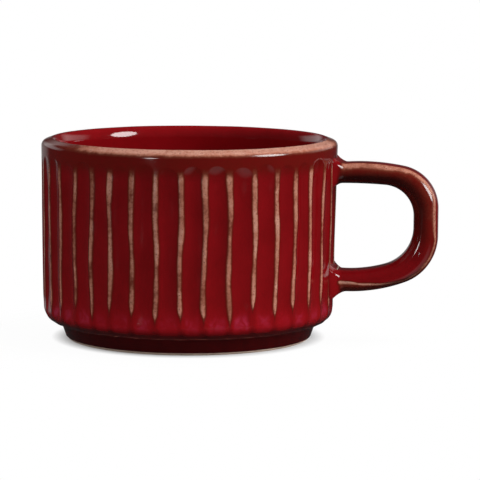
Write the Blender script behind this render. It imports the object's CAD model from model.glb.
"""Looks of the fluted stoneware cup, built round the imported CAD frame.

Sizes are in millimetres, as in the part's source, and become metres when a mesh is made. Lamps and the camera
are placed in metres.
"""
from math import cos, pi, radians, sin, tan

import bpy
import numpy as np
from mathutils import Matrix, Vector


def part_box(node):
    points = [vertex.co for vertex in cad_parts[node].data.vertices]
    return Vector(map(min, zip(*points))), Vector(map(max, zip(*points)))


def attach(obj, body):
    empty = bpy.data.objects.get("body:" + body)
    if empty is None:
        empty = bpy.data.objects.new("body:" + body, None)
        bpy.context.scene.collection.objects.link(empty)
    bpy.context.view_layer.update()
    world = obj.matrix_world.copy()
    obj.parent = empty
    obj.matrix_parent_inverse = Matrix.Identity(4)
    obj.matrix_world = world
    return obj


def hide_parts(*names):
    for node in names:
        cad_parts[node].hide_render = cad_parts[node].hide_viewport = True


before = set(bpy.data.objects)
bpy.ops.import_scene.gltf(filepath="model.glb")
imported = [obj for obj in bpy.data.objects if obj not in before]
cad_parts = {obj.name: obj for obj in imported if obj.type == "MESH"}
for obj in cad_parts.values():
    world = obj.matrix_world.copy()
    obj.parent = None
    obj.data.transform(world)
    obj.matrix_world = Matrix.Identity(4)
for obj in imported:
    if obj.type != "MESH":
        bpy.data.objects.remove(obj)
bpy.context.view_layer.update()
MM = 0.001
rng = np.random.default_rng(38)

# Sizes read from the frame
cup_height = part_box("liner_glaze")[1].z / MM
bare_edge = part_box("outer_glaze")[0].z / MM
handle_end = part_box("handle_glaze")[1].x / MM

# Cup, over its glaze
cup_radius = 45.0
glaze = 0.4
coat_depth = 0.34  # thickness given to the visible coats
wall_thickness = 5.3
wall_draft = 0.6
wall_bends = ((49.0, 0.2), (19.0, 0.83))  # heights on the wall, and the share of its draft reached there
lip_slope = 20.0
mouth_flare = 33.0
outer_lip = 1.8
crest_round = 1.4
crest_inset = 3.2  # in the clay, from the wall in to the corner that the crest is rounded from
mouth_curve = 5.6
wall_lean = 0.009  # slope by which the upper half leans towards the handle
floor_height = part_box("liner_glaze")[0].z / MM + glaze
floor_corner = 6.6
floor_eye = 0.05  # radius of the flat cap at the middle of the floor
liner_swell = 0.10  # most that the inside swells by
swell_start = (8.0, 20.0)  # radii over which that begins
shoulder_curve = 4.8
ledge_height = 4.9
neck_round = 0.5
foot_radius = 37.32  # where the foot's slope would meet the table
foot_slope = 19.7
edge_bead = 0.3  # rounded lower edge of the glaze above the bare foot
glaze_run = 0.5  # how far the glaze has run down past its edge in the solids
glaze_end = bare_edge - glaze_run

# Flutes
flute_count = 38
flute_width = 6.0  # as cut in the clay
flute_depth = 0.8
land_half = 0.46  # half the width of the ridge left between two flutes
land_growth = 0.16  # added to that on the upper wall
glaze_sink = 0.26  # how much deeper than the flutes in the clay those in the glaze may be
least_room = 0.08  # and how deep they may be at least, where the lean takes some of that
plain_band = 4.7
top_spread = 0.45  # how far the tops wander up and down
top_step = 2.4  # radians along that wave from one flute to the next
room_softness = 0.1  # of the change from a flute's own depth to the most that there is room for

# Fineness of the meshes
flute_columns = 22
liner_columns = 288
sharp_angle = 55.0  # degrees between two faces, past which their edge is sharp

# How unevenly the hand has cut the flutes: spreads, and waves up the wall as pairs of a length and a size
ridge_lean = 0.006
end_spread = 0.9
ridge_waves = ((37, 0.28), (15, 0.06), (7, 0.015))
width_waves = ((29, 0.09), (12.5, 0.05), (5.3, 0.015))
depth_waves = ((31, 0.10), (13, 0.06))
skin_dip = 0.03  # least depth of the glaze's face inside the even wall
skin_swell = 0.06  # and how far it varies

# Heights over which the flutes change. Below the wall they are unrolled along the profile.
mid_wall = 34.0
upper_wall = (mid_wall, 54.0)  # the ridges widen upwards
ridge_ends = (11.0, 16.0)  # they narrow downwards
flute_merge = (9.0, 14.0)  # and the flutes beside them merge
flute_runout = (2.0, 17.0)  # the flutes grow shallow downwards
ledge_share = 0.22  # to this share of their depth
ledge_runout = (0.2, 2.0)  # and end on the ledge
edge_softness = 0.05  # of a flute's edges
edge_soften = (12.0, 22.0)  # they soften further downwards
low_softness = 0.12  # by this much
top_shallow = (15.0, 6.0)  # below the rim: they grow a little shallower upwards
top_loss = 0.3  # by this share of their depth

# Handle
handle_width = 11.4
handle_drop = 7.4
handle_rise = 9.1
handle_arch = 65.0
upper_bar = 5.8
outer_bar = 7.4
lower_bar = 6.6
upper_bend = 13.0
lower_bend = 14.8
lower_sweep = 68.7
bend_lift = 1.75
loop_height = 25.6
loop_rise = 3.2
loop_arch = 140.0
loop_upper_bend = 9.2
loop_lower_bend = 12.3
loop_lower_sweep = 73.9
loop_bend_lift = 0.6
outer_round = 2.6
inner_round = 2.9
crown = 0.3  # how far the handle's faces swell
joint_reach = 2.5
joint_flare = 1.2
joint_blend = (0.8, 2.8)  # from the wall, over which the joint's sharper section gives way to the handle's
joint_clean = (0.6, 1.8)  # from the wall, over which the glaze of the joint gives way to the handle's
handle_stations = (0.0, 0.08, 0.25, 0.37, 0.49, 0.54, 0.68, 0.785, 0.89, 1.0)  # shares of the way along it

# How thick the glaze lies, as its material reads it: 0 is tan, 0.3 brown and 0.6 or more red
lip_coat = 0.04
ridge_coat = 0.15
wall_coat = 0.66
band_loss = 0.17  # thinner on the plain band
shoulder_gain = 0.15  # thicker on the shoulder
streak_loss = 0.1  # but less so in line with the ridges
liner_coat = 0.70
base_coat = 0.70
joint_coat = 0.70
coat_waves = ((23, 0.05), (9, 0.03))  # up each ridge, as pairs of a length and a size
coat_spread = 0.03  # from ridge to ridge
pool_share = 0.86  # how dark it goes where it gathers on the foot

# Where it changes on the outside
front_turn = -65.0  # degrees round the cup to the part of the lip where it is thinnest
lip_fade = (52.0, 75.0)  # degrees from there over which it thickens
lip_gain = 0.8  # by this share of the way to the wall's own
lip_start = 0.55  # share of the way down the lip where it starts to thicken downwards
lip_stop = 0.5  # below the lip, where it has done so
band_start = (10.0, 4.5)  # below the rim: it thins upwards to the plain band
ridge_fade = (8.8, 4.4)  # below the rim: the tan of the ridges fades upwards
edge_fade = (-0.9, 0.2)  # past a flute's edge: it thins towards the ridge
edge_widen = 0.4  # and starts this much sooner on the shoulder
shoulder_start = (16.0, 9.0)  # heights over which it thickens downwards
streak_width = (0.4, 1.9)  # from a ridge's line: the streak below the ridge fades
bloom_height = 10.0  # of the pink bloom between the ends of the ridges
bloom_spread = 1.9
bloom_clear = (0.9, 2.2)  # from a ridge's line: the bloom begins
bloom_strength = 1.5
pool_heights = (5.5, 8.9)  # it gathers downwards, under the shoulder's curve
pool_rise = 0.5  # and reaches this much higher in line with the ridges
line_height = 3.9  # of the thin line along the shoulder's lower edge
line_spread = 0.45
line_share = 0.66

# Floor and room
floor_reach = 80.0
floor_fade = 60.0  # the floor fades out from here to its reach
shadow_reach = (36.0, 42.0)  # its shadow shows well up to the first and faintly past the second
ambient = 0.38  # even light from all round
room_level = 0.03  # how bright the dim room looks in the glaze
backdrop_level = 0.28  # and the backdrop low behind the cup
side_level = 0.7  # and the backdrop to its two sides
table_level = 0.4  # and the table in front
backdrop_way = (-0.30, 0.954, 0)  # direction of the backdrop's lit part behind the cup
table_way = (0.47, -0.57, -0.67)  # and of the table's
lamp_aim = Vector((0, 0, 0.03))  # the point in the cup that the lamps face

# Camera, straight in front before it is turned round the cup
camera_turn = 6.7  # degrees, towards the handle
camera_place = Vector((0.01563, -0.83961, 0.13633))
camera_target = Vector((0.01563, 0, 0.02958))
camera_roll = 0.005  # radians
focal_length = 208.08
sensor_width = 36.0

# Sizes that follow from these
bore_radius = cup_radius - wall_thickness
wall_middle = cup_radius - wall_thickness / 2
shoulder_radius = cup_radius - wall_draft
wall_foot = ledge_height + shoulder_curve
outer_slope = radians(lip_slope)
inner_slope = radians(90 - mouth_flare)
lip_turn = (inner_slope + outer_slope) / 2
lip_lean = (inner_slope - outer_slope) / 2
crest_radius = cup_radius - glaze - crest_inset + (crest_round - glaze) * sin(lip_lean) / cos(lip_turn)

# Middles of the lip's rounds: the crest, the brow outside it and the mouth's flare inside it
crest = (crest_radius, cup_height - crest_round)
lip_face = crest[1] * cos(outer_slope) + crest[0] * sin(outer_slope) + crest_round - outer_lip
brow_radius = cup_radius - outer_lip
brow = (brow_radius, (lip_face - brow_radius * sin(outer_slope)) / cos(outer_slope))
flare_face = crest[1] * cos(inner_slope) - crest[0] * sin(inner_slope) + crest_round - mouth_curve
mouth_radius = bore_radius + mouth_curve
mouth = (mouth_radius, (flare_face + mouth_radius * sin(inner_slope)) / cos(inner_slope))
wall_top = brow[1]

# Handle sizes that follow
handle_top = cup_height - handle_drop
loop_top = handle_top - upper_bar
loop_bottom = loop_top - loop_height
handle_bottom = loop_bottom - lower_bar
loop_end = handle_end - outer_bar


def smoothstep(low, high, value):
    """0 below low, 1 above high and a smooth rise between them."""
    share = np.clip((value - low) / (high - low), 0, 1)
    return share * share * (3 - 2 * share)


def arc(centre, radius, start, stop, count):
    """Points along a circular arc, between two angles in degrees."""
    angles = np.radians(np.linspace(start, stop, count))
    return np.stack([centre[0] + radius * np.cos(angles), centre[1] + radius * np.sin(angles)], 1)


def run(start, stop, count):
    """Points along a straight line."""
    return np.linspace(start, stop, count)


def tangent_arc(start, heading, stop, count):
    """Points along the arc that leaves start in a heading and ends at stop."""
    start, stop = np.array(start), np.array(stop)
    side = np.array([-heading[1], heading[0]])
    chord = stop - start
    radius = chord @ chord / (2 * chord @ side)
    centre = start + radius * side
    first, last = np.unwrap([np.arctan2(*(point - centre)[::-1]) for point in (start, stop)])
    angles = np.linspace(first, last, count)
    return centre + abs(radius) * np.stack([np.cos(angles), np.sin(angles)], 1)


def joined(*stretches):
    """Stretches of points end to end, without the points that they share."""
    return np.concatenate([stretches[0]] + [stretch[1:] for stretch in stretches[1:]])


def left_normals(points):
    """Unit normals on the left of a line of points."""
    along = np.gradient(points, axis=0)
    along /= np.linalg.norm(along, axis=1)[:, None]
    return np.stack([-along[:, 1], along[:, 0]], 1)


def waver(waves, heights):
    """A slow uneven wave up each flute: a sum of waves, given as pairs of a length and a size."""
    phases = rng.uniform(0, 2 * pi, (len(waves), flute_count))
    rises = 2 * pi * heights[:, None]
    return sum(size * np.sin(rises / length + phase) for (length, size), phase in zip(waves, phases))


def below_rim(reach, heights):
    """0 below the first of two distances from the rim, 1 above the second and a smooth rise between them."""
    return smoothstep(cup_height - reach[0], cup_height - reach[1], heights)


def hump(heights, middle, spread):
    """1 at the middle height, falling away over a spread to both sides."""
    return np.exp(-(((heights - middle) / spread) ** 2))


def grid_mesh(name, points, closed):
    """A smooth mesh over rows of points that close on themselves. The rows close too, or end in caps."""
    rows, columns = points.shape[:2]
    index = np.arange(rows * columns).reshape(rows, columns)
    caps = [] if closed else [index[0].tolist(), index[-1][::-1].tolist()]
    if closed:
        index = np.vstack([index, index[:1]])
    index = np.hstack([index, index[:, :1]])
    quads = np.stack([index[:-1, :-1], index[1:, :-1], index[1:, 1:], index[:-1, 1:]], -1).reshape(-1, 4)
    mesh = bpy.data.meshes.new(name)
    mesh.from_pydata((points.reshape(-1, 3) * MM).tolist(), [], quads.tolist() + caps)
    mesh.polygons.foreach_set("use_smooth", [True] * len(mesh.polygons))
    mesh.set_sharp_from_angle(angle=radians(sharp_angle))
    return mesh


def make_piece(mesh, fields, node):
    """An object that stands for a CAD node, with a named value at each point for its material."""
    for name, values in fields.items():
        layer = mesh.attributes.new(name, "FLOAT", "POINT")
        layer.data.foreach_set("value", np.ravel(values).astype(np.float32))
    piece = bpy.data.objects.new(mesh.name, mesh)
    bpy.context.scene.collection.objects.link(piece)
    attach(piece, "root")
    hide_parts(node)
    return piece


def spun(radii, heights, turns):
    """Points in space from radii, heights and angles."""
    return np.stack([radii * np.cos(turns), radii * np.sin(turns), heights + 0 * turns], -1)


def leaning(points):
    """The same points on a cup whose upper half leans a little towards its handle."""
    points[..., 0] += wall_lean * np.maximum(points[..., 2] - cup_height / 2, 0)
    return points


def flute_drift(turn):
    """Radians that the hand has wandered from an even spacing at this angle round the cup."""
    return np.radians(0.77 * np.sin(2 * turn - 0.8) - 0.86 * np.sin(3 * turn) - 0.32 * np.sin(9 * turn))


def unevenness(turns, heights):
    """A slow swell of the hand-made wall, from about 0 to 1."""
    swell = np.sin(5 * turns + 0.11 * heights) + np.sin(9 * turns - 0.23 * heights + 1)
    return 0.5 + 0.17 * (swell + np.sin(16 * turns + 0.31 * heights + 2))


def face_dip(turns, heights):
    """How far the glaze's face lies inside the even wall."""
    return skin_dip + skin_swell * unevenness(turns, heights)


def foot_at(height):
    """Radius of the foot's slope at a height."""
    return foot_radius + height * tan(radians(foot_slope))


def outer_profile():
    """Points down the outside from crest to bare foot, the way along them and the lip's part of it."""
    over = arc(crest, crest_round, 90, 90 - lip_slope, 7)
    down = arc(brow, outer_lip, 90 - lip_slope, 0, 17)
    lip = joined(over, run(over[-1], down[0], 4), down)
    neck_height = ledge_height - neck_round
    neck_end = neck_height + neck_round * sin(radians(foot_slope))
    neck = (foot_at(neck_end) + neck_round * cos(radians(foot_slope)), neck_height)
    foot_end = (foot_at(glaze_end + edge_bead), glaze_end + edge_bead)
    high_bend, low_bend = [(cup_radius - share * wall_draft, height) for height, share in wall_bends]
    points = joined(
        lip,
        run((cup_radius, wall_top), high_bend, 46),
        run(high_bend, low_bend, 52),
        run(low_bend, (shoulder_radius, wall_foot), 26),
        arc((shoulder_radius - shoulder_curve, wall_foot), shoulder_curve, 0, -90, 26),
        run((shoulder_radius - shoulder_curve, ledge_height), (neck[0], ledge_height), 3),
        arc(neck, neck_round, 90, 180 - foot_slope, 7),
        run((foot_at(neck_end), neck_end), foot_end, 26),
        arc((foot_end[0] - edge_bead, foot_end[1]), edge_bead, 0, -90, 4),
    )
    steps = np.linalg.norm(np.diff(points, axis=0), axis=1)
    travel = np.concatenate([[0], np.cumsum(steps)])
    return points, travel, travel[len(lip) - 1]


def closed_round(columns):
    """A column for each ridge, with the first one again at the end."""
    return np.hstack([columns, columns[:, :1]])


def ridge_lines(heights):
    """Angles of the ridges, as cut in the clay and as they wander in the glaze, and half of their widths."""
    even = 2 * pi / flute_count * np.arange(flute_count + 1)
    lean = rng.normal(0, ridge_lean, flute_count)
    sway = waver(ridge_waves, heights) + lean * (heights[:, None] - mid_wall)
    cut_ridges = even + flute_drift(even)
    ridges = cut_ridges + closed_round(sway) / cup_radius
    widths = land_half + waver(width_waves, heights)
    widths += land_growth * smoothstep(*upper_wall, heights)[:, None]

    # Low on the wall they fade to points, each at a height of its own, and then the flutes overlap
    above_end = heights[:, None] - rng.normal(0, end_spread, flute_count)
    overlap = 1 - smoothstep(*flute_merge, above_end)
    lands = widths * smoothstep(*ridge_ends, above_end) - overlap
    return cut_ridges, ridges, closed_round(lands)


def flute_grid(ridges, lands):
    """Columns of points that run along the ridges and crowd towards them.

    Gives angles, half the flutes' widths, and distances from a flute's middle and from a ridge's line.
    """
    share = np.arange(flute_columns) / flute_columns
    share = 0.4 * share + 0.3 * (1 - np.cos(pi * share))
    left, right = ridges[:, :-1, None], ridges[:, 1:, None]
    turns = left + share * (right - left)
    flute_left = left * cup_radius + lands[:, :-1, None]
    flute_right = right * cup_radius - lands[:, 1:, None]
    half = (flute_right - flute_left) / 2
    offset = turns * cup_radius - (flute_left + flute_right) / 2
    from_ridge = np.minimum(share, 1 - share) * (right - left) * cup_radius
    return turns, half, offset, from_ridge


def flute_hollow(heights, offset, above, half):
    """Depth of the flutes, gouged hollows with round upper ends that run out on the shoulder."""
    reach = np.sqrt(offset**2 + above**2)
    depth_wave = 1 + waver(depth_waves, heights)[:, :, None]
    runout = ledge_share + (1 - ledge_share) * smoothstep(*flute_runout, heights)
    runout *= smoothstep(*ledge_runout, heights) * (1 - top_loss * below_rim(top_shallow, heights))
    depth = flute_depth * depth_wave * runout[:, None, None]
    hollow = depth * (1 - (reach / half) ** 2)
    soft = edge_softness + low_softness * (1 - smoothstep(*edge_soften, heights))[:, None, None]
    return 0.5 * (hollow + np.sqrt(hollow**2 + soft**2))


def clay_room(heights, turns, cut_ridges, tops):
    """How deep the glaze may sink and stay clear of the clay, whose flutes are straight and don't lean."""
    cut_offset = turns * cup_radius - (cut_ridges[:-1] + cut_ridges[1:])[:, None] / 2 * cup_radius
    cut_above = np.maximum(heights[:, None, None] - (tops[:, None] - flute_width / 2), 0)
    cut_share = (cut_offset**2 + cut_above**2) / (flute_width / 2) ** 2
    fallen = shoulder_curve * (1 - np.cos(np.clip((wall_foot - heights) / shoulder_curve, 0, pi / 2)))
    room = np.maximum(flute_depth * (1 - cut_share) - fallen[:, None, None], 0) + glaze_sink
    leaned = wall_lean * np.maximum(heights - cup_height / 2, 0)[:, None, None]
    return np.maximum(room + leaned * np.minimum(np.cos(turns), 0), least_room)


def ridge_coats(heights, offset):
    """How thick the glaze lies on the ridge nearest to each point, which varies up it and between ridges."""
    tint = waver(coat_waves, heights) + rng.normal(0, coat_spread, flute_count)
    tint = closed_round(tint)[:, :, None]
    return ridge_coat + np.where(offset < 0, tint[:, :-1], tint[:, 1:]).reshape(len(heights), -1)


def outer_fields(heights, turns, lip_share, offset, past_edge, from_ridge):
    """How thick the glaze lies on the outside, where it blooms and where it gathers."""
    shoulder = smoothstep(*shoulder_start, heights)[:, None]
    streak = 1 - smoothstep(*streak_width, from_ridge)
    body = wall_coat - band_loss * below_rim(band_start, heights)[:, None]
    body = body + shoulder_gain * shoulder - streak_loss * shoulder * streak

    # It draws back from the ridges below their tops, and from the front of the lip
    below_top = 1 - below_rim(ridge_fade, heights)[:, None]
    near_ridge = smoothstep(edge_fade[0] - edge_widen * shoulder, edge_fade[1], past_edge) * below_top
    on_ridge = ridge_coats(heights, offset)
    coat = on_ridge + (body - on_ridge) * (1 - near_ridge)
    from_front = np.abs((turns - radians(front_turn) + pi) % (2 * pi) - pi)
    on_lip = lip_share * (1 - lip_gain * smoothstep(*np.radians(lip_fade), from_front))
    coat = coat * (1 - on_lip) + lip_coat * on_lip

    # It blooms between the ridges' ends, and gathers under the shoulder but for a thin line along its edge
    bloom = hump(heights, bloom_height, bloom_spread)[:, None] * smoothstep(*bloom_clear, from_ridge)
    bloom *= bloom_strength * unevenness(turns, heights[:, None])
    pool = pool_share * (1 - smoothstep(*pool_heights, heights[:, None] - pool_rise * streak))
    thin_line = line_share * hump(heights, line_height, line_spread)[:, None]
    return {"coat": coat - thin_line, "bloom": bloom, "pool": pool * (1 - thin_line)}


def outer_skin():
    """The glaze on the outside, with its flutes."""
    points, travel, lip_travel = outer_profile()
    normals = left_normals(points)
    heights = wall_top + lip_travel - travel  # true on the wall, and unrolled above and below it
    cut_ridges, ridges, lands = ridge_lines(heights)
    turns, half, offset, from_ridge = flute_grid(ridges, lands)
    tops = cup_height - plain_band + top_spread * np.sin(top_step * np.arange(flute_count))
    above = np.maximum(heights[:, None, None] - (tops[:, None] - half), 0)
    hollow = flute_hollow(heights, offset, above, half)

    # The lesser of the hollow and the room for it, with a soft change from one to the other
    room = clay_room(heights, turns, cut_ridges, tops)
    hollow = 0.5 * (hollow + room - np.sqrt((hollow - room) ** 2 + room_softness**2))

    flat = (len(points), flute_count * flute_columns)
    turns = turns.reshape(flat)
    sunk = hollow.reshape(flat) + face_dip(turns, heights[:, None])
    radii = points[:, :1] - sunk * normals[:, :1]
    levels = points[:, 1:] - sunk * normals[:, 1:]
    shown = leaning(spun(radii, levels, turns))

    # The coat's hidden side, on fewer rows
    back = np.arange(len(points) - 1, -1, -5)
    hidden_radii = radii[back] - coat_depth * normals[back, :1]
    hidden_levels = levels[back] - coat_depth * normals[back, 1:]
    hidden = leaning(spun(hidden_radii, hidden_levels, turns[back]))

    lip_share = 1 - smoothstep(lip_start * lip_travel, lip_travel + lip_stop, travel)[:, None]
    past_edge = (np.hypot(offset, 0.5 * above) - half).reshape(flat)
    fields = outer_fields(heights, turns, lip_share, offset, past_edge, from_ridge.reshape(flat))
    fields = {name: np.vstack([values, values[back]]) for name, values in fields.items()}
    mesh = grid_mesh("outer_glaze_skin", np.vstack([shown, hidden]), closed=True)
    return make_piece(mesh, fields, "outer_glaze")


def liner_skin():
    """The glaze inside, from the middle of the floor up to the lip's crest."""
    floor_run = bore_radius - floor_corner
    flare = arc(mouth, mouth_curve, 180, 180 - mouth_flare, 16)
    crown_over = arc(crest, crest_round, 180 - mouth_flare, 90, 11)
    points = joined(
        run((floor_eye, floor_height), (floor_run, floor_height), 16),
        arc((floor_run, floor_height + floor_corner), floor_corner, -90, 0, 20),
        run((bore_radius, floor_height + floor_corner), flare[0], 36),
        flare,
        run(flare[-1], crown_over[0], 4),
        crown_over,
    )
    normals = left_normals(points)
    turns = np.linspace(0, 2 * pi, liner_columns, endpoint=False)[None, :]
    rise = points[:, 1:]

    # It swells a little like the wall outside, and dips at the crest to meet the outer coat there
    near_crest = smoothstep(crest[1], cup_height, rise)
    swell = liner_swell * unevenness(turns, mid_wall) * (1 - near_crest)
    swell = swell * smoothstep(*swell_start, points[:, :1])
    lip_travel = outer_profile()[2]
    dip = face_dip(turns, wall_top + lip_travel) * near_crest
    radii = points[:, :1] + (swell - dip) * normals[:, :1]
    levels = rise + (swell - dip) * normals[:, 1:]
    shown = leaning(spun(radii, levels, turns))
    back = np.arange(len(points) - 1, -1, -4)
    hidden_radii = np.abs(radii[back] - coat_depth * normals[back, :1])
    hidden_levels = levels[back] - coat_depth * normals[back, 1:]
    hidden = leaning(spun(hidden_radii, hidden_levels, turns + 0 * hidden_radii))
    coat = liner_coat + 0 * rise * turns
    coat = np.vstack([coat, coat[back]])
    mesh = grid_mesh("liner_glaze_skin", np.vstack([shown, hidden]), closed=False)
    return make_piece(mesh, {"coat": coat, "bloom": 0 * coat, "pool": 0 * coat}, "liner_glaze")


def loop_line(top, rise, arch, end, upper, lower, sweep, lift, bottom):
    """Points along a loop: out from the wall along its top, round two bends and back along its bottom."""
    start = radians(rise)
    fall = np.arcsin((end - wall_middle - arch * sin(start) - upper) / (arch - upper))
    turned = 90 - np.degrees(fall)
    over = arc((wall_middle + arch * sin(start), top - arch * cos(start)), arch, 90 + rise, turned, 44)
    bend_middle = (end - upper, over[-1][1] - upper * np.cos(fall))
    sweep_in = arc((end - lower, bottom + lift + lower), lower, 0, -sweep, 40)
    leaving = np.array([-sin(radians(sweep)), -cos(radians(sweep))])
    return joined(
        over,
        arc(bend_middle, upper, turned, 0, 44),
        run((end, bend_middle[1]), (end, bottom + lift + lower), 10),
        sweep_in,
        tangent_arc(sweep_in[-1], leaving, (wall_middle, bottom), 44),
    )


def handle_lines():
    """Points in pairs along the outside and the inside of the handle, from its upper to its lower end."""
    outside = loop_line(
        handle_top,
        handle_rise,
        handle_arch,
        handle_end,
        upper_bend,
        lower_bend,
        lower_sweep,
        bend_lift,
        handle_bottom,
    )
    inside = loop_line(
        loop_top,
        loop_rise,
        loop_arch,
        loop_end,
        loop_upper_bend,
        loop_lower_bend,
        loop_lower_sweep,
        loop_bend_lift,
        loop_bottom,
    )
    return outside, inside


def bar_section():
    """Places round the handle's section: shares of its half sizes, the corner's radius, offsets to add."""
    places = []
    corners = ((1, 1, outer_round), (-1, 1, inner_round), (-1, -1, inner_round), (1, -1, outer_round))
    for out, side, radius in corners:
        middle = np.degrees(np.arctan2(side, out))
        rising = out * side > 0
        sweep = arc((0, 0), radius, middle - 45, middle + 45, 15)
        places += [(out, side, radius, *point) for point in sweep]
        flat = np.linspace(1, -1, 9)[1:-1]
        if rising:
            places += [(out * share, side, radius, 0, side * radius) for share in flat]
        else:
            places += [(out, side * share, radius, out * radius, 0) for share in flat]
    return np.array(places)


def handle_fields(down, clear):
    """How thick the glaze lies on the handle, by the way down from its outer face and out from the wall."""
    along = np.linspace(0, 1, len(down))[:, None]
    wander = 0.25 * np.sin(41 * along) + 0.15 * np.sin(97 * along + 1)

    def stations(*values):
        """Values at the stations, carried along the handle between them."""
        return np.interp(along, handle_stations, values)

    # It breaks thin along the outer edge, and below that heals to the face's own thickness
    break_start = stations(0.3, 0.3, 0.4, 0.4, 1.3, 1.0, 1.5, 2.4, 4.35, 4.6) + 0.3 * wander
    break_stop = stations(1.6, 2.4, 2.0, 1.1, 1.8, 1.5, 2.0, 2.7, 4.8, 5.1) + 0.7 * wander
    heal = stations(2.2, 1.8, 2.0, 1.7, 1.6, 1.2, 1.4, 0.9, 0.6, 0.5)
    thin = stations(0.26, 0.15, 0.16, 0.08, 0.14, 0.12, 0.20, 0.15, -0.06, 0.0)
    face = stations(0.42, 0.42, 0.42, 0.42, 0.42, 0.48, 0.66, 0.70, 0.70, 0.70)
    broken = smoothstep(break_start - 0.5, break_start + 0.3, down)
    healed = smoothstep(break_stop, break_stop + heal, down)
    outer_face = 0.62 - 0.22 * smoothstep(0.52, 0.68, along)
    coat = outer_face * (1 - broken) + broken * (thin + (face - thin) * healed)

    # It gathers inside the upper bend and under the lower one, and lies even at the joints
    inner_pool = stations(0.85, 0.85, 0.85, 0.72, 0.62, 0.5, 0, 0, 0, 0) * smoothstep(3.8, 6.2, down)
    outer_pool = 0.7 * (1 - smoothstep(2.6, 3.9, down)) * smoothstep(0.62, 0.76, along)
    clean = 1 - smoothstep(*joint_clean, clear)
    coat = coat * (1 - clean) + joint_coat * clean
    return {"coat": coat, "bloom": 0 * coat, "pool": (inner_pool + outer_pool) * (1 - clean)}


def handle_skin():
    """The glaze on the handle, flared where slip joins it to the wall."""
    outside, inside = handle_lines()
    thick = np.linalg.norm(outside - inside, axis=1)[:, None]
    outward = (outside - inside) / thick
    middle = (outside + inside) / 2
    clear = np.clip(middle[:, :1] - cup_radius, -1.0, None)
    flare = joint_flare * np.maximum(1 - clear / joint_reach, 0) ** 2
    half_thick, half_width = thick / 2 + flare, handle_width / 2 + flare

    # Places round the section, with sharper corners at the joints and faces that swell away from them
    out, side, radius, add_out, add_side = bar_section().T
    at_joint = 1 - smoothstep(*joint_blend, clear)
    snug = 1 - 0.35 * at_joint
    place_out = out * (half_thick - radius * snug) + add_out * snug
    place_side = side * (half_width - radius * snug) + add_side * snug
    swell = crown * (1 - at_joint)
    swell_out = swell * (place_side / half_width) ** 2
    swell_side = swell * (place_out / half_thick) ** 2
    place_out -= np.sign(place_out) * swell_out
    place_side -= np.sign(place_side) * swell_side

    # The way down from the outer face, round its edge and along the side
    drop = half_thick - place_out
    inset = half_width - np.abs(place_side)
    corner = np.arctan2(np.maximum(outer_round - inset, 0), np.maximum(outer_round - drop, 0))
    down = np.where(drop < outer_round, outer_round * corner, drop + outer_round * (pi / 2 - 1))

    outs = middle[:, :1] + place_out * outward[:, :1]
    rises = middle[:, 1:] + place_out * outward[:, 1:]
    mesh = grid_mesh("handle_glaze_skin", np.stack([outs, place_side, rises], -1), closed=False)
    return make_piece(mesh, handle_fields(down, clear), "handle_glaze")


def linear(red, green, blue):
    """A colour written in screen values, 0 to 255, as the linear value that a shader takes."""
    screen = np.array([red, green, blue]) / 255
    values = np.where(screen <= 0.04045, screen / 12.92, ((screen + 0.055) / 1.055) ** 2.4)
    return (*values.tolist(), 1.0)


def new_material(name):
    """An empty node material: its node tree and its surface shader."""
    material = bpy.data.materials.new(name)
    material.use_nodes = True
    tree = material.node_tree
    return material, tree, tree.nodes["Principled BSDF"]


def add_node(tree, kind, inputs=None, **settings):
    """A node of this kind, with its settings, and with values or links on its inputs."""
    node = tree.nodes.new(kind)
    for name, value in settings.items():
        setattr(node, name, value)
    for name, value in (inputs or {}).items():
        if isinstance(value, bpy.types.NodeSocket):
            tree.links.new(value, node.inputs[name])
        else:
            node.inputs[name].default_value = value
    return node


def noise(tree, place, size, detail=2.0, distortion=0.0):
    """Noise whose features are about this many millimetres across."""
    inputs = {"Vector": place, "Scale": 1 / (size * MM), "Detail": detail, "Distortion": distortion}
    return add_node(tree, "ShaderNodeTexNoise", inputs).outputs["Fac"]


def calculated(tree, operation, first, second, clamp=False):
    """One calculation on two values or sockets."""
    inputs = {0: first, 1: second}
    return add_node(tree, "ShaderNodeMath", inputs, operation=operation, use_clamp=clamp).outputs[0]


def product(tree, *factors):
    """Values or sockets multiplied together."""
    result = factors[0]
    for factor in factors[1:]:
        result = calculated(tree, "MULTIPLY", result, factor)
    return result


def ranged(tree, value, low, high, to_low, to_high):
    """A value carried from one range to another, and held at its ends."""
    inputs = {"Value": value, "From Min": low, "From Max": high, "To Min": to_low, "To Max": to_high}
    return add_node(tree, "ShaderNodeMapRange", inputs).outputs["Result"]


def mixed(tree, factor, first, second):
    """Two colours mixed by a factor."""
    inputs = {0: factor, 6: first, 7: second}
    return add_node(tree, "ShaderNodeMix", inputs, data_type="RGBA").outputs[2]


def ramp(tree, value, stops):
    """Colours along a value."""
    node = add_node(tree, "ShaderNodeValToRGB", {"Fac": value})
    elements = node.color_ramp.elements
    while len(elements) < len(stops):
        elements.new(0.5)
    for element, (place, colour) in zip(elements, stops):
        element.position = place
        element.color = colour
    return node.outputs["Color"]


def add_relief(tree, surface, height, strength, depth):
    """Bumps on a surface, with their depth in millimetres."""
    bump = add_node(tree, "ShaderNodeBump", {"Height": height, "Strength": strength, "Distance": depth * MM})
    tree.links.new(bump.outputs["Normal"], surface.inputs["Normal"])


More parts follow.
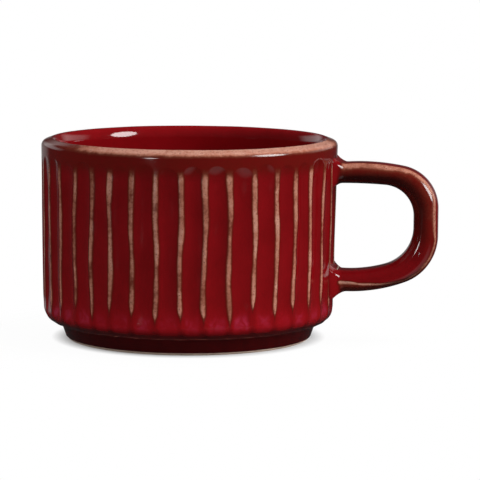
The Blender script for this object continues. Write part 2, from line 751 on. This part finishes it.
def coat_fields(tree, even_coat, middling, broad):
    """The glaze's thickness, bloom and pools, as kept at a mesh's points or as noise round an even coat."""
    if even_coat is None:
        names = ("coat", "bloom", "pool")
        return [add_node(tree, "ShaderNodeAttribute", attribute_name=name).outputs["Fac"] for name in names]
    coat = ranged(tree, broad, 0.2, 0.8, even_coat - 0.1, even_coat + 0.1)
    bloom = ranged(tree, middling, 0.55, 0.8, 0.0, 0.4)
    pool = ranged(tree, broad, 0.4, 0.8, 0.0, 0.5)
    return coat, bloom, pool


def glaze_colour(tree, place, fields, middling, broad):
    """Tan through brown to red as the glaze thickens, with bloom, dark pools and specks where it is thin."""
    coat, bloom, pool = fields
    colour = ramp(
        tree,
        coat,
        (
            (0.00, linear(182, 132, 115)),
            (0.16, linear(158, 99, 80)),
            (0.30, linear(100, 44, 30)),
            (0.44, linear(90, 16, 10)),
            (0.62, linear(102, 8, 11)),
            (0.80, linear(122, 9, 15)),
        ),
    )
    lively = ranged(tree, broad, 0.3, 0.75, 0.0, 0.35)
    rich = product(tree, lively, ranged(tree, coat, 0.5, 0.65, 0.0, 1.0))
    colour = mixed(tree, rich, colour, linear(132, 13, 20))
    spots = product(tree, bloom, ranged(tree, middling, 0.4, 0.65, 0.1, 0.7))
    colour = mixed(tree, spots, colour, linear(142, 34, 56))
    colour = mixed(tree, pool, colour, linear(24, 2, 2))
    specks = ranged(tree, noise(tree, place, size=0.45, detail=1.0), 0.60, 0.70, 0.0, 0.7)
    specks = product(tree, specks, ranged(tree, coat, 0.15, 0.32, 1.0, 0.0))
    return mixed(tree, specks, colour, linear(84, 44, 32))


def glaze_material(name, even_coat=None):
    """Gloss glaze, rougher and pitted where it is thin."""
    material, tree, surface = new_material(name)
    place = add_node(tree, "ShaderNodeTexCoord").outputs["Object"]
    fine = noise(tree, place, size=0.7, detail=3.0)
    middling = noise(tree, place, size=2.6, distortion=0.6)
    broad = noise(tree, place, size=11.0, distortion=0.4)
    coat, bloom, pool = coat_fields(tree, even_coat, middling, broad)
    speckle = ranged(tree, fine, 0.2, 0.8, -0.07, 0.07)
    uneven = calculated(tree, "ADD", speckle, ranged(tree, middling, 0.2, 0.8, -0.09, 0.09))
    uneven = product(tree, uneven, ranged(tree, coat, 0.2, 0.45, 1.0, 0.35))
    coat = calculated(tree, "ADD", coat, uneven)
    colour = glaze_colour(tree, place, (coat, bloom, pool), middling, broad)
    tree.links.new(colour, surface.inputs["Base Color"])
    tree.links.new(ranged(tree, coat, 0.1, 0.5, 0.24, 0.07), surface.inputs["Roughness"])
    pits = product(tree, fine, ranged(tree, coat, 0.0, 0.35, 1.0, 0.05))
    relief = calculated(tree, "ADD", pits, product(tree, middling, 0.6))
    add_relief(tree, surface, relief, strength=0.35, depth=0.06)
    surface.inputs["Specular IOR Level"].default_value = 0.5
    surface.inputs["IOR"].default_value = 1.5
    return material


def clay_material(name, base, speck):
    """Fired stoneware, dry and grainy, with iron specks."""
    material, tree, surface = new_material(name)
    place = add_node(tree, "ShaderNodeTexCoord").outputs["Object"]
    grain = noise(tree, place, size=0.35, detail=4.0)
    cloud = noise(tree, place, size=6.0)
    tone = mixed(tree, ranged(tree, cloud, 0.3, 0.7, 0.0, 0.6), base, speck)
    grit = ranged(tree, grain, 0.60, 0.72, 0.0, 0.7)
    tree.links.new(mixed(tree, grit, tone, linear(70, 55, 46)), surface.inputs["Base Color"])
    tree.links.new(ranged(tree, grain, 0.2, 0.8, 0.75, 0.95), surface.inputs["Roughness"])
    add_relief(tree, surface, grain, strength=0.5, depth=0.08)
    return material


def dress(node, material):
    """Give a CAD node this material."""
    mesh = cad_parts[node].data
    mesh.materials.clear()
    mesh.materials.append(material)


def dress_object():
    """Build the visible coats and give every node its finish."""
    glaze_look = glaze_material("breaking_red_glaze")
    for skin in (outer_skin(), liner_skin(), handle_skin()):
        skin.data.materials.append(glaze_look)
    dress("base_glaze", glaze_material("base_glaze", even_coat=base_coat))
    clay = clay_material("stoneware", linear(186, 164, 148), linear(160, 138, 124))
    slip = clay_material("slip", linear(158, 138, 124), linear(136, 116, 104))
    for node, look in (
        ("stoneware_body", clay),
        ("handle", clay),
        ("upper_slip_joint", slip),
        ("lower_slip_joint", slip),
    ):
        dress(node, look)


def shown_rays(tree):
    """1 for the rays that show the backdrop: the camera's, and those that gloss and glass send on."""
    path = add_node(tree, "ShaderNodeLightPath")
    seen = calculated(tree, "ADD", path.outputs["Is Camera Ray"], path.outputs["Is Glossy Ray"], clamp=True)
    return calculated(tree, "ADD", seen, path.outputs["Is Transmission Ray"], clamp=True)


def floor_material():
    """White that keeps the cup's shadow close in for the camera, and fades away further out."""
    material, tree, surface = new_material("floor")
    surface.inputs["Base Color"].default_value = (0.8, 0.8, 0.8, 1)
    surface.inputs["Roughness"].default_value = 1.0
    surface.inputs["Specular IOR Level"].default_value = 0.0
    place = add_node(tree, "ShaderNodeTexCoord").outputs["Object"]
    away = add_node(tree, "ShaderNodeVectorMath", {0: place}, operation="LENGTH").outputs["Value"]
    camera = add_node(tree, "ShaderNodeLightPath").outputs["Is Camera Ray"]
    glow = add_node(tree, "ShaderNodeEmission", {"Strength": ranged(tree, camera, 0, 1, room_level, 1.0)})
    near, far = shadow_reach
    shadow = product(tree, camera, ranged(tree, away, near * MM, far * MM, 0.9, 0.03))
    share = calculated(tree, "SUBTRACT", shown_rays(tree), shadow)
    lit = add_node(tree, "ShaderNodeMixShader", {0: share, 1: surface.outputs[0], 2: glow.outputs[0]})
    fade = ranged(tree, away, floor_fade * MM, floor_reach * MM, 0.0, 1.0)
    clear = add_node(tree, "ShaderNodeBsdfTransparent")
    faded = add_node(tree, "ShaderNodeMixShader", {0: fade, 1: lit.outputs[0], 2: clear.outputs[0]})
    tree.links.new(faded.outputs[0], tree.nodes["Material Output"].inputs["Surface"])
    return material


def add_floor():
    """A round floor under the cup."""
    turns = np.linspace(0, 2 * pi, 96, endpoint=False)
    rim = spun(floor_reach, 0, turns) * MM
    mesh = bpy.data.meshes.new("floor")
    mesh.from_pydata(rim.tolist(), [], [list(range(len(rim)))])
    mesh.materials.append(floor_material())
    floor = bpy.data.objects.new("floor", mesh)
    bpy.context.scene.collection.objects.link(floor)


def add_softbox(name, place, size, watts, mirrored=True):
    """A soft lamp that faces the cup, and that the glaze mirrors or not."""
    lamp = bpy.data.lights.new(name, "AREA")
    lamp.shape = "ELLIPSE"
    lamp.size, lamp.size_y = size
    lamp.energy = watts
    box = bpy.data.objects.new(name, lamp)
    box.location = place
    box.rotation_euler = (lamp_aim - Vector(place)).to_track_quat("-Z", "Y").to_euler()
    box.visible_glossy = mirrored
    bpy.context.scene.collection.objects.link(box)


def light_studio():
    """Lamps on the right, overhead and on the left, a large fill high in front and a small lamp low in front.

    The glaze mirrors only the right one and the small one.
    """
    add_softbox("right_softbox", place=(0.85, -0.25, 0.42), size=(0.44, 0.5), watts=7.5)
    add_softbox("top_softbox", place=(0.36, 0.05, 0.95), size=(0.6, 0.9), watts=6.5, mirrored=False)
    add_softbox("left_softbox", place=(-0.62, 0.50, 0.32), size=(1.2, 0.9), watts=0.8, mirrored=False)
    add_softbox("fill_softbox", place=(-0.55, -0.75, 0.95), size=(2.0, 2.0), watts=4.8, mirrored=False)
    add_softbox("front_strip", place=(-0.30, -0.78, 0.05), size=(0.16, 0.10), watts=0.6)


def aimed(tree, facing, direction):
    """How nearly a way of facing agrees with a direction: 1 where it is the same."""
    inputs = {0: facing, 1: direction}
    return add_node(tree, "ShaderNodeVectorMath", inputs, operation="DOT_PRODUCT").outputs["Value"]


def light_room():
    """White for the camera, a dim room with pale patches for the gloss, and even light for the rest."""
    world = bpy.data.worlds.new("room")
    bpy.context.scene.world = world
    world.use_nodes = True
    tree = world.node_tree
    facing = add_node(tree, "ShaderNodeTexCoord").outputs["Generated"]
    axes = add_node(tree, "ShaderNodeSeparateXYZ", {0: facing})
    back, rise = axes.outputs["Y"], axes.outputs["Z"]

    # The backdrop low behind the cup, the same higher up to its two sides, and the table in front
    behind = ranged(tree, aimed(tree, facing, backdrop_way), 0.86, 0.93, 0.0, 1.0)
    backdrop = product(tree, behind, ranged(tree, rise, 0.02, 0.09, 1.0, 0.0))
    backdrop = ranged(tree, backdrop, 0, 1, room_level, backdrop_level)
    sides = product(
        tree,
        ranged(tree, back, 0.30, 0.5, 0.0, 1.0),
        ranged(tree, back, 0.84, 0.95, side_level, 0.0),
        ranged(tree, rise, 0.04, 0.12, 0.0, 1.0),
        ranged(tree, rise, 0.32, 0.42, 1.0, 0.0),
    )
    table = ranged(tree, aimed(tree, facing, table_way), 0.86, 0.95, 0.0, table_level)
    lit = calculated(tree, "ADD", backdrop, calculated(tree, "ADD", table, sides))

    camera = add_node(tree, "ShaderNodeLightPath").outputs["Is Camera Ray"]
    seen = calculated(tree, "MAXIMUM", lit, camera)
    strength = add_node(tree, "ShaderNodeMix", {0: shown_rays(tree), 2: ambient, 3: seen})
    background = tree.nodes["Background"]
    tree.links.new(strength.outputs[0], background.inputs["Strength"])
    background.inputs["Color"].default_value = (1, 1, 1, 1)


def add_camera():
    """The photo's view: a long lens in front, a little above the rim, with the handle turned towards it."""
    turn = Matrix.Rotation(radians(camera_turn), 4, "Z")
    place = turn @ camera_place
    target = turn @ camera_target
    lens = bpy.data.cameras.new("camera")
    lens.sensor_width = sensor_width
    lens.lens = focal_length
    lens.clip_start = 0.01
    camera = bpy.data.objects.new("camera", lens)
    facing = (target - place).to_track_quat("-Z", "Y").to_matrix().to_4x4()
    camera.matrix_world = Matrix.Translation(place) @ facing @ Matrix.Rotation(camera_roll, 4, "Z")
    bpy.context.scene.collection.objects.link(camera)
    bpy.context.scene.camera = camera


dress_object()
add_floor()
light_studio()
light_room()
add_camera()
bpy.context.scene.view_settings.view_transform = "Standard"
